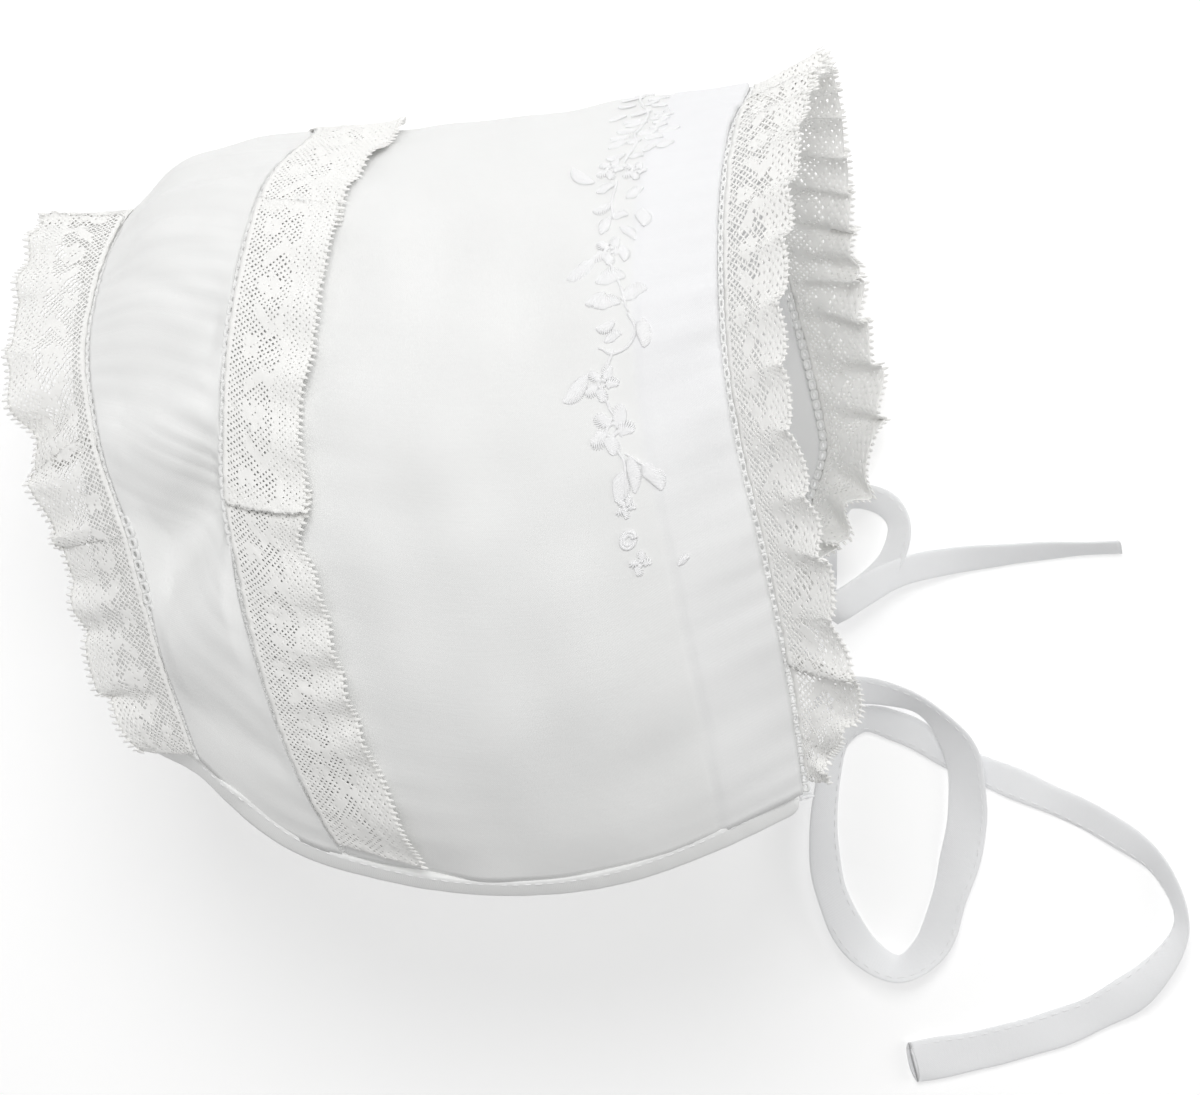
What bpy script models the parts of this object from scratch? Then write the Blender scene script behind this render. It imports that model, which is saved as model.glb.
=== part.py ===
"""Baby bonnet of white cotton with three bands of lace and two ties.

The bonnet lies on its far side on a flat surface, rounded as if a head filled it,
with its ties laid on the surface beside it. X runs forward, out of the face
opening, Y runs up to the crown of the head, and Z is up, away from the surface.
"""

import bmesh
import bpy
import numpy as np

# ---- Driving dimensions, in metres and degrees --------------------------------

COTTON = 0.0012            # wall of the doubled cotton
LACE = 0.0010              # wall of the lace
BINDING = 0.0018           # the bias binding is folded round the neck edge
GAP = 0.0004               # left between pieces that touch

LACE_WIDTH = 0.0160        # all three bands are cut from one lace
TIE_WIDTH = 0.0062
TIE_THICKNESS = 0.0012

HEAD_AT = (0.0053, -0.0202, 0.0560)    # middle of the head; Z is half its width
LOWER_DROP = 0.092         # lower half-axis of every cross section

# Cross sections of the head from back to front:
# (x, top, neck edge, height of the widest point, half width)
SECTIONS = (
    (-0.0740, 0.0600, -0.0100, 0.016, 0.0430),
    (-0.0600, 0.0725, -0.0240, 0.014, 0.0500),
    (-0.0500, 0.0760, -0.0330, 0.012, 0.0540),
    (-0.0380, 0.0780, -0.0450, 0.012, 0.0570),
    (-0.0180, 0.0790, -0.0530, 0.012, 0.0595),
    (0.0050, 0.0825, -0.0555, 0.012, 0.0605),
    (0.0280, 0.0865, -0.0510, 0.012, 0.0600),
    (0.0450, 0.0890, -0.0430, 0.012, 0.0580),
    (0.0620, 0.0920, -0.0330, 0.012, 0.0550),
)

# Each seam runs from the top of the head (0) to the neck edge (1) on both sides.
SEAM_STEPS = (0.00, 0.15, 0.30, 0.50, 0.70, 0.85, 1.00)
FACE_SEAM = (0.0460, 0.0440, 0.0440, 0.0470, 0.0540, 0.0590, 0.0620)
MIDDLE_SEAM = (-0.0360, -0.0410, -0.0430, -0.0440, -0.0415, -0.0340, -0.0220)
BACK_SEAM = (-0.0708, -0.0716, -0.0724, -0.0720, -0.0670, -0.0590, -0.0490)
FACE_TUCK = 0.009          # the far corner of the face edge is pushed back by its weight

# How far the back bulges behind its seam, and each lace's flare off the cloth
BULGE = (0.001, 0.003, 0.006, 0.009, 0.013, 0.019, 0.026)
FACE_FLARE_NEAR = (12, 27, 30, 22, 4, 12, 0)
FACE_FLARE_FAR = (12, 12, 4, 0, 0, -56, -80)
BACK_FLARE = (40, 35, 24, 13, 9, 10, 10)

BINDING_STEP = 0.976       # the panels stop here, and the binding takes over
LACE_END = 0.955           # the lace ends are tucked in at the neck
MIDDLE_LACE_ROOM = 0.0024  # height of the cloth over the lace that it lies on
LACE_COVER = 0.0180        # stretch of front panel that the middle lace takes up
LACE_STEP = 0.0040         # stretch over which the panel comes down past the lace
RUFFLES = 12               # soft waves along the free edge of the face lace
RUFFLE_DEPTH = 0.0016

# Soft folds pressed into the back band: (x, step) of both ends, depth, half width
BACK_FOLDS = (
    ((-0.046, 0.60), (-0.064, 0.76), -0.0030, 0.0075),
    ((-0.044, 0.68), (-0.062, 0.86), 0.0018, 0.0070),
    ((-0.046, 0.42), (-0.069, 0.56), -0.0018, 0.0060),
)

# The ties: route points (x, y, z) in the head's frame, z measured from the surface.
# Each leaves the inside of its neck corner, drops to the surface and lies on it.
NEAR_TIE = (
    (0.0550, -0.0300, 0.1000), (0.0570, -0.0345, 0.0965), (0.0580, -0.0375, 0.0880),
    (0.0575, -0.0400, 0.0600), (0.0565, -0.0425, 0.0300), (0.0575, -0.0435, 0.0130),
    (0.0620, -0.0430, 0.0075), (0.0690, -0.0437, 0.0050), (0.0765, -0.0460, 0.0040),
    (0.0842, -0.0542, 0.0034), (0.0867, -0.0679, 0.0018), (0.0835, -0.0887, 0.0008),
    (0.0797, -0.1000, 0.0008), (0.0735, -0.1045, 0.0008), (0.0656, -0.1006, 0.0008),
    (0.0593, -0.0887, 0.0008), (0.0575, -0.0757, 0.0008), (0.0583, -0.0640, 0.0008),
    (0.0600, -0.0555, 0.0008), (0.0655, -0.0510, 0.0008), (0.0726, -0.0528, 0.0008),
    (0.0849, -0.0593, 0.0008), (0.0992, -0.0652, 0.0008), (0.1135, -0.0714, 0.0008),
    (0.1262, -0.0805, 0.0008), (0.1308, -0.0919, 0.0008), (0.1247, -0.1043, 0.0008),
    (0.1128, -0.1137, 0.0008), (0.0945, -0.1213, 0.0008), (0.0756, -0.1263, 0.0008),
)
FAR_TIE = (
    (0.0535, -0.0360, 0.0060), (0.0555, -0.0300, 0.0020), (0.0565, -0.0220, 0.0008),
    (0.0570, -0.0130, 0.0008), (0.0607, -0.0045, 0.0008), (0.0677, -0.0049, 0.0008),
    (0.0718, -0.0100, 0.0008), (0.0703, -0.0165, 0.0008), (0.0650, -0.0228, 0.0010),
    (0.0595, -0.0270, 0.0020), (0.0578, -0.0278, 0.0050), (0.0600, -0.0258, 0.0078),
    (0.0650, -0.0222, 0.0072), (0.0730, -0.0185, 0.0040), (0.0830, -0.0165, 0.0014),
    (0.0919, -0.0151, 0.0008), (0.1038, -0.0134, 0.0008), (0.1161, -0.0123, 0.0008),
)

TIE_POINT_SPACING = 0.0066


# ---- Curves and surfaces ----------------------------------------------------------

def through(stations, values, at):
    """A smooth curve through hand-chosen values, read at any place between them."""
    stations = np.asarray(stations, float)
    values = np.asarray(values, float)
    slopes = np.gradient(values, stations, axis=0)
    at = np.clip(np.asarray(at, float), stations[0], stations[-1])
    left = np.clip(np.searchsorted(stations, at, side="right") - 1, 0, len(stations) - 2)
    span = stations[left + 1] - stations[left]
    t = (at - stations[left]) / span
    if values.ndim > 1:
        t = t[..., None]
        span = span[..., None]
    start = (1 + 2 * t) * (1 - t) ** 2 * values[left] + t * (1 - t) ** 2 * span * slopes[left]
    end = t * t * (3 - 2 * t) * values[left + 1] + t * t * (t - 1) * span * slopes[left + 1]
    return start + end


def ease(value, low, high):
    """0 below low, 1 above high, and smooth between them."""
    t = np.clip((value - low) / (high - low), 0, 1)
    return t * t * (3 - 2 * t)


def unit(vectors):
    return vectors / np.linalg.norm(vectors, axis=-1, keepdims=True)


def seam(values, step):
    """x of a seam at a step from -1 (far neck corner) over the top to 1 (near corner)."""
    both_sides = [-s for s in SEAM_STEPS[:0:-1]] + list(SEAM_STEPS)
    return through(both_sides, values[:0:-1] + values, step)


def face_seam(step):
    return seam(FACE_SEAM, step) - FACE_TUCK * ease(-step, 0.76, 0.88)


def middle_seam(step):
    return seam(MIDDLE_SEAM, step)


def back_seam(step):
    return seam(BACK_SEAM, step)


def settle(points, lift=0.0):
    """Flatten the underside where it rests on the surface."""
    points[..., 2] = np.maximum(points[..., 2], lift)
    return points


def fold_height(x, step):
    """Height of the soft folds of the back band, on its near side."""
    height = np.zeros(np.shape(x))
    for start, end, depth, half_width in BACK_FOLDS:
        scale = np.array((1.0, 0.15))      # a step of 1 is about 0.15 m of cloth
        a = np.array(start) * scale
        run = np.array(end) * scale - a
        place = np.stack((x, step), -1) * scale - a
        along = np.clip((place @ run) / (run @ run), 0, 1)
        aside = np.linalg.norm(place - along[..., None] * run, axis=-1)
        height = height + depth * np.exp(-(aside / half_width) ** 2)
    return height * ease(-x, 0.040, 0.048) * ease(-x, 0.074, 0.066)


def head(x, step):
    """A point of the cloth's outer side: x along the head, step around it."""
    x, step = np.broadcast_arrays(np.asarray(x, float), np.asarray(step, float))
    table = np.array(SECTIONS)
    top, neck, middle, half_width = np.moveaxis(through(table[:, 0], table[:, 1:], x), -1, 0)
    turn = np.abs(step) * np.arccos(np.clip((neck - middle) / LOWER_DROP, -1, 1))
    rise = np.where(np.cos(turn) > 0, top - middle, LOWER_DROP)
    side = np.sign(step) * half_width * np.sin(turn)
    points = np.stack((x, middle + rise * np.cos(turn), side), -1) + HEAD_AT
    lace_edge = middle_seam(step) + LACE_COVER
    lift = MIDDLE_LACE_ROOM * (1 - ease(x, lace_edge, lace_edge + LACE_STEP))
    return settle(points, lift)


def outward(x, step):
    """The cloth's outward direction there."""
    nudge = 1e-4
    along = head(x + nudge, step) - head(x - nudge, step)
    around = head(x, step + nudge) - head(x, step - nudge)
    return unit(np.cross(around, along))


def back_of_head(step, across):
    """The domed back: step up the seam, across from -1 (far side) to 1 (near side)."""
    inset = LACE + 2 * GAP
    x = back_seam(step) - 2 * GAP
    start = head(x, step) - outward(x, step) * inset
    end = head(x, -step) - outward(x, -step) * inset
    points = end + (start - end) * ((across + 1) / 2)[..., None]
    points[..., 0] -= seam(BULGE, step) * (1 - np.abs(across) ** 2.2)
    return settle(points, inset)


def lace_strip(seam_x, flare, step, width, forward):
    """A lace band sewn along a seam: it leaves the cloth forward or backward."""
    nudge = 1e-3
    base = head(seam_x(step), step)
    along = head(seam_x(step + nudge), step + nudge) - head(seam_x(step - nudge), step - nudge)
    off = outward(seam_x(step), step)
    across = unit(np.cross(off, along) if forward else np.cross(along, off))
    tilt = np.radians(flare)[..., None]
    reach = across * np.cos(tilt) + off * np.sin(tilt)
    clear = 2 * GAP + LACE * np.maximum(-np.sin(tilt), 0)    # room for a wall bent inwards
    return base + across * clear + reach * width[..., None], off


# ---- Making the pieces ----------------------------------------------------------

def make_material(name, colour, roughness):
    material = bpy.data.materials.new(name)
    material.use_nodes = True
    shader = material.node_tree.nodes["Principled BSDF"]
    shader.inputs["Base Color"].default_value = (*colour, 1.0)
    shader.inputs["Roughness"].default_value = roughness
    shader.inputs["Metallic"].default_value = 0.0
    return material


def sheet(name, rows, thickness, material):
    """A cloth wall: rows of points on its outer side, thickened inwards."""
    mesh = bpy.data.meshes.new(name)
    bm = bmesh.new()
    grid = [[bm.verts.new(point) for point in row] for row in rows]
    for lower, upper in zip(grid, grid[1:]):
        for k in range(len(lower) - 1):
            bm.faces.new((lower[k], upper[k], upper[k + 1], lower[k + 1]))
    bm.to_mesh(mesh)
    bm.free()
    mesh.shade_smooth()
    mesh.materials.append(material)
    piece = bpy.data.objects.new(name, mesh)
    collection.objects.link(piece)
    wall = piece.modifiers.new("Wall", "SOLIDIFY")
    wall.thickness = thickness
    wall.offset = -1.0
    wall.use_even_offset = True
    return piece


def grid_of(rows, columns, row_ends, column_ends=(0.0, 1.0)):
    """Two arrays: the row value and the column value at each corner of a grid."""
    return np.meshgrid(np.linspace(*row_ends, rows), np.linspace(*column_ends, columns),
                       indexing="ij")


def front_panel():
    """Columns 0 to 3 lie over the middle lace, and 4 is where the panel comes down past it."""
    step, column = grid_of(45, 12, (-BINDING_STEP, BINDING_STEP), (0, 11))
    back = middle_seam(step) + GAP
    lace_edge = middle_seam(step) + LACE_COVER
    level = lace_edge + LACE_STEP
    front = face_seam(step) - GAP
    over_lace = back + (lace_edge - back) * column / 3
    ahead = level + (front - level) * (column - 4) / 7
    x = np.where(column <= 3, over_lace, ahead)
    return sheet("front_panel", head(x, step), COTTON, cotton)


def back_band():
    step, part = grid_of(45, 8, (-BINDING_STEP, BINDING_STEP))
    back = back_seam(step) + GAP
    x = back + (middle_seam(step) - GAP - back) * part
    rows = head(x, step) + outward(x, step) * (fold_height(x, step) * (step > 0))[..., None]
    return sheet("back_band", rows, COTTON, cotton)


def crown_back():
    step, across = grid_of(12, 13, (BINDING_STEP, 0.10), (-1.0, 1.0))
    rows = back_of_head(step, across)[:, ::-1]
    return sheet("crown_back", rows, COTTON, cotton)


def neck_binding():
    """One strip from corner to corner of the neck edge, round the nape."""
    step_low, step_high = BINDING_STEP + 0.004, 1.0
    side = np.linspace(0, 1, 13)[:-1]
    rows = []
    for step in (step_high, step_low):
        near_x = face_seam(step) + (back_seam(step) - face_seam(step)) * side
        far_x = face_seam(-step) + (back_seam(-step) - face_seam(-step)) * side
        nape = back_of_head(np.full(13, step), np.linspace(1, -1, 13))
        rows.append(np.concatenate((head(near_x, step), nape, head(far_x, -step)[::-1])))
    return sheet("neck_binding", rows[::-1], BINDING, cotton)


def face_lace():
    step, part = grid_of(73, 4, (-LACE_END, LACE_END))
    near = through(SEAM_STEPS, FACE_FLARE_NEAR, np.abs(step))
    far = through(SEAM_STEPS, FACE_FLARE_FAR, np.abs(step))
    flare = np.where(step > 0, near, far)
    rows, off = lace_strip(face_seam, flare, step, LACE_WIDTH * part, forward=True)
    wave = RUFFLE_DEPTH * part * np.sin(2 * np.pi * RUFFLES * step)
    rows = settle(rows + off * wave[..., None])
    return sheet("face_lace", rows, LACE, lace)


def middle_lace():
    """It lies forward over the front panel, so its rows are the panel's, less one at each end."""
    end = BINDING_STEP * 42 / 44
    step, part = grid_of(43, 4, (-end, end))
    x = middle_seam(step) + 2 * GAP + LACE_WIDTH * part
    rows = head(x, step) + outward(x, step) * (1.5 * GAP + LACE)
    return sheet("middle_lace", rows, LACE, lace)


def back_lace():
    step, part = grid_of(57, 4, (-LACE_END, LACE_END))
    flare = through(SEAM_STEPS, BACK_FLARE, np.abs(step))
    rows, _ = lace_strip(back_seam, flare, step, LACE_WIDTH * part, forward=False)
    rows = settle(rows)
    return sheet("back_lace", rows[:, ::-1], LACE, lace)


def tie(name, route):
    """A flat ribbon laid along its route."""
    route = np.array(route) + (HEAD_AT[0], HEAD_AT[1], 0.0)
    knots = np.concatenate(([0.0], np.cumsum(np.linalg.norm(np.diff(route, axis=0), axis=1))))
    count = int(round(knots[-1] / TIE_POINT_SPACING)) + 1
    points = through(knots, route, np.linspace(0, knots[-1], count))
    curve = bpy.data.curves.new(name, "CURVE")
    curve.dimensions = "3D"
    curve.twist_mode = "Z_UP"
    curve.extrude = (TIE_WIDTH - TIE_THICKNESS) / 2
    curve.bevel_depth = TIE_THICKNESS / 2
    curve.bevel_resolution = 2
    curve.use_fill_caps = True
    spline = curve.splines.new("POLY")
    spline.points.add(count - 1)
    heading = np.gradient(points[:, :2], axis=0)
    doubles_back = np.sum(heading[1:] * heading[:-1], axis=1) < 0
    faces_up = np.concatenate(([0], np.cumsum(doubles_back)))    # the other face, once folded
    for point, place, turned in zip(spline.points, points, faces_up):
        point.co = (*place, 1.0)
        point.tilt = np.radians(90.0 + 180.0 * turned)
    curve.materials.append(cotton)
    piece = bpy.data.objects.new(name, curve)
    collection.objects.link(piece)
    print(name, "length", round(float(knots[-1]), 4), "points", count)
    return piece


for leftover in list(bpy.data.objects):
    bpy.data.objects.remove(leftover)

collection = bpy.data.collections.new("baby_bonnet")
bpy.context.scene.collection.children.link(collection)
cotton = make_material("white_cotton", (0.86, 0.87, 0.87), 0.85)
lace = make_material("white_lace", (0.84, 0.84, 0.82), 0.90)

front_panel()
back_band()
crown_back()
neck_binding()
face_lace()
middle_lace()
back_lace()
tie("near_tie", NEAR_TIE)
tie("far_tie", FAR_TIE)
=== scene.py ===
import bpy
import numpy as np
from mathutils import Matrix, Vector


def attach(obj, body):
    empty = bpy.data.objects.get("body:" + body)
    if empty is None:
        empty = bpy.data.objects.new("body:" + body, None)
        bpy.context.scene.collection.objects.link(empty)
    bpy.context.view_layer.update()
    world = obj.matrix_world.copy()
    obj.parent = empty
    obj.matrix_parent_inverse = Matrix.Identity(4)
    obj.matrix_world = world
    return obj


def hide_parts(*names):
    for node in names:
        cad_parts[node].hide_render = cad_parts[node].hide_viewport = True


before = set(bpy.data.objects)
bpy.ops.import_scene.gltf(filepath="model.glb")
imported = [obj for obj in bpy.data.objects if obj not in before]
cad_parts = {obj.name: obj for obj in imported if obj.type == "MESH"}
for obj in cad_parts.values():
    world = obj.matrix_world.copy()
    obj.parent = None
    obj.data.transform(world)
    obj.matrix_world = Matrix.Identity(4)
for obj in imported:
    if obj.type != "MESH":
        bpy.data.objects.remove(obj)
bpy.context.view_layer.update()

print("nodes:", ", ".join(sorted(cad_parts)))

# %% [markdown]
# ## The camera
# The bonnet lies on its far side and is seen from above, a little from its front and crown,
# with the crown towards the top of the picture. A long lens keeps its near and far side at
# nearly one scale. The camera comes first: it decides which stretches of the ties show.
# %% Camera
VIEW_MIDDLE = Vector((0.0233, -0.0202, 0.0560))
VIEW_DISTANCE = 0.90
METRES_ACROSS = 0.228          # width of the picture at the bonnet's middle plane
toward_front, toward_crown = np.radians((7.0, 17.0))

from_bonnet = Vector((np.sin(toward_front) * np.cos(toward_crown), np.sin(toward_crown),
                      np.cos(toward_front) * np.cos(toward_crown)))
picture_up = (Vector((0, 1, 0)) - from_bonnet * from_bonnet.y).normalized()
picture_right = picture_up.cross(from_bonnet)
camera_data = bpy.data.cameras.new("camera")
camera_data.sensor_width = 36.0
camera_data.lens = 36.0 * VIEW_DISTANCE / METRES_ACROSS
camera = bpy.data.objects.new("camera", camera_data)
bpy.context.scene.collection.objects.link(camera)
turn = Matrix((picture_right, picture_up, from_bonnet)).transposed()
camera.matrix_world = Matrix.Translation(VIEW_MIDDLE + from_bonnet * VIEW_DISTANCE) @ turn.to_4x4()
bpy.context.scene.camera = camera
print("lens", round(camera_data.lens, 1), "mm")

# %% [markdown]
# ## Curves through a few values
# `through` draws a fair curve through a few measures, as a pattern cutter does, with a cubic
# between each pair. `ease` is a soft step from 0 to 1, and `wander` is an irregular wave.
# %% Curve helpers
def through(stations, values, at):
    """A smooth curve through given values, read at any place between them."""
    stations = np.asarray(stations, float)
    values = np.asarray(values, float)
    slopes = np.gradient(values, stations, axis=0)
    at = np.clip(np.asarray(at, float), stations[0], stations[-1])
    left = np.clip(np.searchsorted(stations, at, side="right") - 1, 0, len(stations) - 2)
    span = stations[left + 1] - stations[left]
    t = (at - stations[left]) / span
    if values.ndim > 1:
        t = t[..., None]
        span = span[..., None]
    start = (1 + 2 * t) * (1 - t) ** 2 * values[left] + t * (1 - t) ** 2 * span * slopes[left]
    end = t * t * (3 - 2 * t) * values[left + 1] + t * t * (t - 1) * span * slopes[left + 1]
    return start + end


def ease(value, low, high):
    """0 below low, 1 above high, and smooth between them."""
    t = np.clip((value - low) / (high - low), 0, 1)
    return t * t * (3 - 2 * t)


def bump(value, centre, half_width):
    return np.exp(-((value - centre) / half_width) ** 2)


def unit(vectors):
    return vectors / np.maximum(np.linalg.norm(vectors, axis=-1, keepdims=True), 1e-12)


def heading(line):
    """The direction along a line at each of its points."""
    return unit(np.gradient(line, axis=0))


def square_to(along, vectors):
    """The vectors without their part along the line, one long."""
    return unit(vectors - along * np.sum(vectors * along, axis=1)[:, None])


def wander(at, seed):
    """Four waves of uneven length: irregular, between about -1 and 1, the same on each run."""
    rng = np.random.default_rng(seed)
    total = np.zeros(np.shape(at))
    for k in range(1, 5):
        total = total + np.sin(np.asarray(at) * rng.uniform(0.6, 1.7) * k + rng.uniform(0, 6.3))
    return total / 2.4


def arc_lengths(points):
    return np.concatenate(([0.0], np.cumsum(np.linalg.norm(np.diff(points, axis=0), axis=1))))


def blurred(values, times):
    for _ in range(times):
        padded = np.concatenate((values[:1], values, values[-1:]))
        values = (padded[:-2] + 2 * padded[1:-1] + padded[2:]) / 4
    return values


def settle(points, lift=0.0):
    """Nothing lies lower than lift above the surface."""
    points[..., 2] = np.maximum(points[..., 2], lift)
    return points


# %% [markdown]
# ## The shape of the head
# The measures are those of the CAD pieces: cross sections from back to front, and three seams
# that each run from one neck corner over the top to the other. A place on the cloth is two
# numbers, x along the head and a step round it, from -1 at the far neck edge to 1 at the near.
# %% Head and seams
HEAD_AT = np.array((0.0053, -0.0202, 0.0560))
LOWER_DROP = 0.092             # from the middle of the head down to its lowest point
MM = 0.001
SECTIONS = MM * np.array((     # x, height of the top, of the neck edge, of the middle, half width
    (-74, 60, -10, 16, 43), (-60, 72.5, -24, 14, 50), (-50, 76, -33, 12, 54),
    (-38, 78, -45, 12, 57), (-18, 79, -53, 12, 59.5), (5, 82.5, -55.5, 12, 60.5),
    (28, 86.5, -51, 12, 60), (45, 89, -43, 12, 58), (62, 92, -33, 12, 55)))
SEAM_STEPS = (0.00, 0.15, 0.30, 0.50, 0.70, 0.85, 1.00)
FACE_SEAM = (46, 44, 44, 47, 54, 59, 62)
MIDDLE_SEAM = (-36, -41, -43, -44, -41.5, -34, -22)
BACK_SEAM = (-70.8, -71.6, -72.4, -72, -67, -59, -49)
FACE_TUCK = 0.009              # the face edge draws in this much by the far neck corner
LACE_LIFT = 0.0024             # the cloth lies this high where the middle lace is under it
LACE_COVER = 0.0180            # how far it reaches over the front panel
COTTON_WALL = 0.0008
NECK_STEP = 0.976              # where the panels end and the binding begins
SEAM_ROOM = 0.0005             # half of the open ladder stitch that joins two pieces
LACE_FLOOR = 0.0004            # how high the lace and the back band stay above the surface


def seam(values, step):
    """A measure in millimetres at each seam step, the same on both sides."""
    both_sides = [-s for s in SEAM_STEPS[:0:-1]] + list(SEAM_STEPS)
    return MM * through(both_sides, values[:0:-1] + values, step)


def face_seam(step):
    return seam(FACE_SEAM, step) - FACE_TUCK * ease(-step, 0.76, 0.88)


def middle_seam(step):
    return seam(MIDDLE_SEAM, step)


def back_seam(step):
    return seam(BACK_SEAM, step)


def head(x, step):
    """A point on the outer side of the cloth, in the row frame."""
    x, step = np.broadcast_arrays(np.asarray(x, float), np.asarray(step, float))
    top, neck, middle, half_width = np.moveaxis(through(SECTIONS[:, 0], SECTIONS[:, 1:], x), -1, 0)
    turn = np.abs(step) * np.arccos(np.clip((neck - middle) / LOWER_DROP, -1, 1))
    rise = np.where(np.cos(turn) > 0, top - middle, LOWER_DROP)
    side = np.sign(step) * half_width * np.sin(turn)
    points = np.stack((x, middle + rise * np.cos(turn), side), -1) + HEAD_AT
    lace_edge = middle_seam(step) + LACE_COVER
    lift = LACE_LIFT * (1 - ease(x, lace_edge, lace_edge + 0.004))
    points[..., 2] = np.maximum(points[..., 2], lift)
    return points


def outward(x, step):
    """The direction out of the cloth, smoothed over a few millimetres."""
    nudge_x, nudge_step = 1.5e-3, 0.01
    along = head(x + nudge_x, step) - head(x - nudge_x, step)
    around = head(x, step + nudge_step) - head(x, step - nudge_step)
    return unit(np.cross(around, along))


def grid_of(rows, columns, row_ends, column_ends=(0.0, 1.0)):
    """Two arrays: the row's value and the column's value at each point of a grid."""
    return np.meshgrid(np.linspace(*row_ends, rows), np.linspace(*column_ends, columns),
                       indexing="ij")


def on_head(x, step, height):
    """A point that stands out from the cloth by height."""
    return head(x, step) + outward(x, step) * height[..., None]


def between_seams(low_seam, high_seam, columns):
    """A grid of steps round the head, and of places from one seam to the next."""
    step, part = grid_of(240, columns, (-NECK_STEP, NECK_STEP))
    low = low_seam(step) + SEAM_ROOM
    return step, low + (high_seam(step) - SEAM_ROOM - low) * part


steps = np.linspace(-1, 1, 400)
print("face edge", round(float(arc_lengths(head(face_seam(steps), steps))[-1]) * 1000), "mm")

# %% [markdown]
# ## Turning points into pieces
# A sheet of cloth is a grid of points on its outer side. The distances along the grid become a
# UV map in metres, so that the weave has its real size, and a Solidify modifier gives the sheet
# its thickness inwards. Threads and ties are tubes of rings. `declare` hides the CAD node that a
# piece stands for and hangs the piece on the root body.
# %% Sheets, tubes and pieces
def add_piece(name, mesh, material=None):
    piece = bpy.data.objects.new(name, mesh)
    bpy.context.scene.collection.objects.link(piece)
    if material:
        mesh.materials.append(material)
    return piece


def declare(piece, slot, node_name=None, **cut):
    if node_name:
        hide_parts(node_name)
    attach(piece, "root")


def add_wall(piece, thickness):
    wall = piece.modifiers.new("Wall", "SOLIDIFY")
    wall.thickness = thickness
    wall.offset = -1.0


def new_mesh(name, points, faces, edges=()):
    mesh = bpy.data.meshes.new(name)
    mesh.from_pydata(np.reshape(points, (-1, 3)).tolist(), list(edges), faces)
    return mesh


def give_attribute(mesh, name, values, kind="FLOAT", domain="POINT"):
    layer = mesh.attributes.new(name, kind, domain)
    key = "value" if kind == "FLOAT" else "vector"
    layer.data.foreach_set(key, np.asarray(values, np.float32).ravel())


def lay_uv(mesh, down, over):
    """A UV map called cloth, in metres, for vertices in rows and columns."""
    flat = np.stack(np.meshgrid(down, over, indexing="ij"), -1).reshape(-1, 2)
    layer = mesh.uv_layers.new(name="cloth")
    loops = np.array([loop.vertex_index for loop in mesh.loops])
    layer.data.foreach_set("uv", flat[loops].astype(np.float32).ravel())
    mesh.shade_smooth()
    return mesh


def cloth_sheet(name, rows, material):
    """A sheet over rows of points, with the cotton's thickness."""
    count, width = rows.shape[:2]
    index = np.arange(count * width).reshape(count, width)
    quads = np.stack((index[:-1, :-1], index[1:, :-1], index[1:, 1:], index[:-1, 1:]), -1)
    down = np.linalg.norm(np.diff(rows, axis=0, prepend=rows[:1]), axis=-1).mean(1).cumsum()
    over = np.linalg.norm(np.diff(rows, axis=1, prepend=rows[:, :1]), axis=-1).mean(0).cumsum()
    mesh = lay_uv(new_mesh(name, rows, quads.reshape(-1, 4).tolist()), down, over)
    piece = add_piece(name, mesh, material)
    add_wall(piece, COTTON_WALL)
    print(name, len(mesh.polygons), "faces")
    return piece


def tube_mesh(name, rings, ends_meet=False):
    """Quads between rings of points. The ends are closed, or joined to each other."""
    rings = np.asarray(rings, float)
    index = np.arange(rings.shape[0] * rings.shape[1]).reshape(rings.shape[:2])
    following = np.roll(index, -1, axis=0)
    quads = np.stack((index, np.roll(index, -1, axis=1), np.roll(following, -1, axis=1),
                      following), -1)
    if ends_meet:
        return new_mesh(name, rings, quads.reshape(-1, 4).tolist())
    ends = [index[0][::-1].tolist(), index[-1].tolist()]
    return new_mesh(name, rings, quads[:-1].reshape(-1, 4).tolist() + ends)


# %% [markdown]
# ## Cotton lawn
# The weave repeats every third of a millimetre, so it is a bump in the material: one wave
# across, one along, and a noise drawn out along the thread that makes some of it thicker. The
# white is hardly varied. In the hem, where the cloth lies double, it is whiter and cooler.
# %% Woven material
SLUB = (1500.0, 110.0, 1.0)    # how often a thread changes, across it and along it, per metre
RUMPLES = 55.0                 # soft rumples in a metre
PATCHES = 24.0                 # patches of slightly different white in a metre
WEAVE_DEPTH = 0.00012
RUMPLE_DEPTH = 0.0012


def node(tree, kind, inputs=None, **settings):
    """Add a node, set its options, and give each named input a value or a link."""
    made = tree.nodes.new(kind)
    for key, value in settings.items():
        setattr(made, key, value)
    for key, value in (inputs or {}).items():
        socket = made.inputs[key]
        if isinstance(value, bpy.types.NodeSocket):
            tree.links.new(value, socket)
        else:
            socket.default_value = value
    return made


def set_inputs(shader, values):
    for label, value in values.items():
        shader.inputs[label].default_value = value


def maths(tree, operation, *values):
    return node(tree, "ShaderNodeMath", dict(enumerate(values)), operation=operation).outputs[0]


def noise(tree, at, scale, detail, roughness=0.5):
    texture = node(tree, "ShaderNodeTexNoise", {"Vector": at, "Scale": scale, "Detail": detail,
                                                "Roughness": roughness})
    return texture.outputs["Fac"]


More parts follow.
